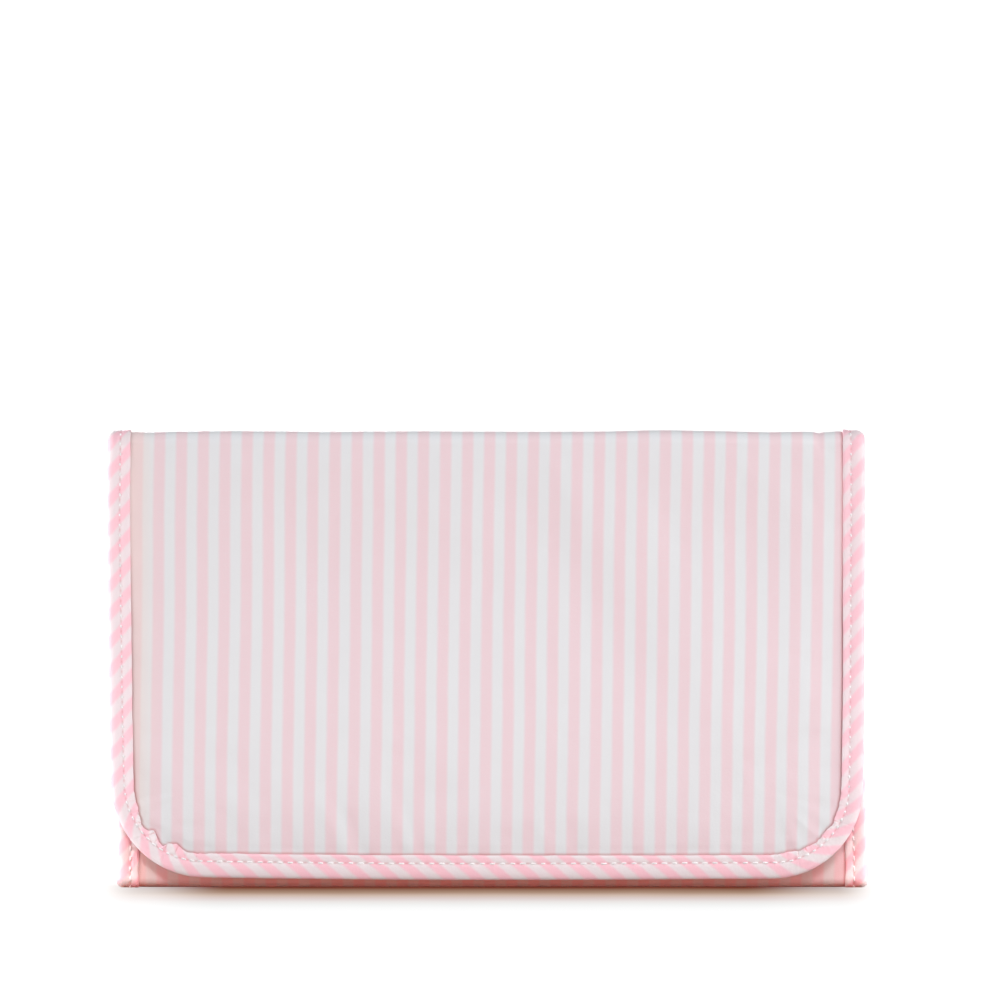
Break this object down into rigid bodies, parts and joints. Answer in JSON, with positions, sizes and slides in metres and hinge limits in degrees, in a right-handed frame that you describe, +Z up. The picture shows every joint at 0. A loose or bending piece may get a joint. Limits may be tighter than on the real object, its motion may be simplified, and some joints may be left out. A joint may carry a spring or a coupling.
{
  "type": "changing pad",
  "caption": "Folding changing mat: a thin padded mat with bound edges and rounded corners, closed like a letter by a full-height flap with hidden hook and loop tape.",
  "frame": {"origin": "centre of the folded mat's footprint, at the level of the bottom fold", "axes": "+Z up the standing mat from the bottom fold to the top fold, +X along the width to the right as seen from the flap side, -Y out of the flap's cover face"},
  "size_m": [0.3176, 0.018, 0.1935],
  "materials": {
    "cover_fabric": "satin, printed lengthwise stripes in pale pink and off-white",
    "lining_fabric": "satin, plain off-white, wipe-clean",
    "padding": "matt",
    "binding_tape": "satin, bias-cut stripes in pink and off-white",
    "sewing_thread": "satin",
    "hook_tape": "matt, stiff hooks",
    "loop_tape": "matt, fuzzy loops"
  },
  "bodies": {
    "back_panel": {"back_cover": "cover_fabric", "back_padding": "padding", "back_lining": "lining_fabric", "back_binding": "binding_tape", "back_binding_thread": "sewing_thread", "top_fold_cover": "cover_fabric", "top_fold_padding": "padding", "top_fold_lining": "lining_fabric", "top_fold_binding": "binding_tape", "top_fold_binding_thread": "sewing_thread", "bottom_fold_cover": "cover_fabric", "bottom_fold_padding": "padding", "bottom_fold_lining": "lining_fabric", "bottom_fold_binding": "binding_tape", "bottom_fold_binding_thread": "sewing_thread"},
    "flap": {"flap_cover": "cover_fabric", "flap_padding": "padding", "flap_lining": "lining_fabric", "flap_binding": "binding_tape", "flap_binding_thread": "sewing_thread", "hook_tape": "hook_tape", "hook_tape_thread": "sewing_thread"},
    "front_panel": {"front_cover": "cover_fabric", "front_padding": "padding", "front_lining": "lining_fabric", "front_binding": "binding_tape", "front_binding_thread": "sewing_thread", "loop_tape": "loop_tape", "loop_tape_thread": "sewing_thread"}
  },
  "joints": [
    {"name": "flap_fold", "type": "hinge", "parent": "back_panel", "child": "flap", "pos_m": [0, 0.00321, 0.1877], "axis": [-1, 0, 0], "range_deg": [0, 178], "deforming": ["top_fold_cover", "top_fold_padding", "top_fold_lining", "top_fold_binding", "top_fold_binding_thread"]},
    {"name": "front_fold", "type": "hinge", "parent": "back_panel", "child": "front_panel", "pos_m": [0, 0.00451, 0.0045], "axis": [1, 0, 0], "range_deg": [0, 180], "deforming": ["bottom_fold_cover", "bottom_fold_padding", "bottom_fold_lining", "bottom_fold_binding", "bottom_fold_binding_thread"]}
  ],
  "couplings": [
    {"joint": "front_fold", "follows": "flap_fold", "ratio": 1.0112}
  ]
}
